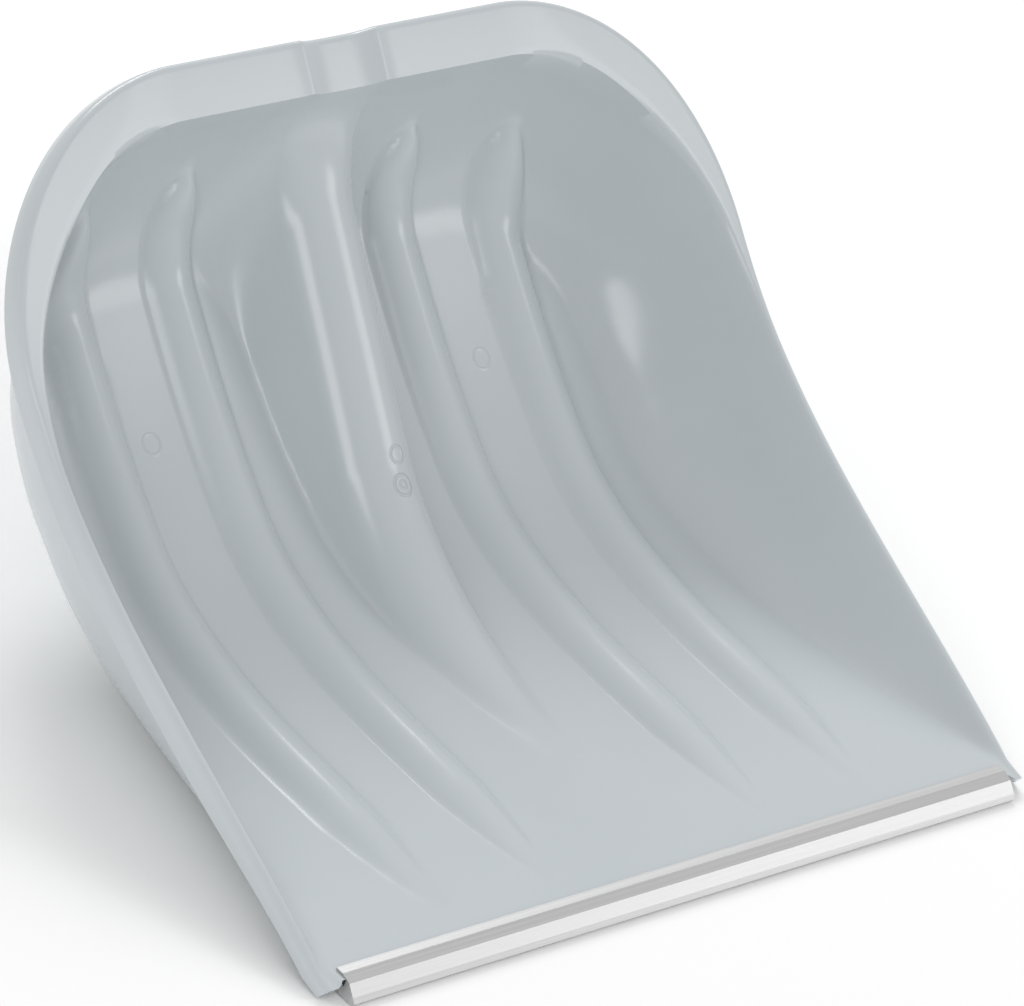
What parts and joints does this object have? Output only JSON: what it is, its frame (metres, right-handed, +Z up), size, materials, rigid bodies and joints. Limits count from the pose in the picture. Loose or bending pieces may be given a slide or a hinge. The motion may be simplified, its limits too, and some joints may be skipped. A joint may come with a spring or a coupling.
{
  "type": "snow shovel blade",
  "caption": "Scoop-shaped plastic snow shovel blade with raised ribs, a flanged rim, a blind handle socket behind the middle hump and a metal strip along the cutting edge.",
  "frame": {"origin": "centre of the bounding box at its base", "axes": "+X across the blade to the right as seen from the cutting edge, +Y from the cutting edge to the back wall, +Z up; the flat front of the floor is level"},
  "size_m": [0.418, 0.367, 0.2071],
  "materials": {
    "blade_plastic": "injection-moulded polypropylene, cool light grey, polished mould surface",
    "strip_aluminium": "bare extruded aluminium, lightly brushed along its length"
  },
  "bodies": {
    "root": {"blade": "blade_plastic", "handle_socket": "blade_plastic", "edge_strip": "strip_aluminium"}
  },
  "joints": []
}
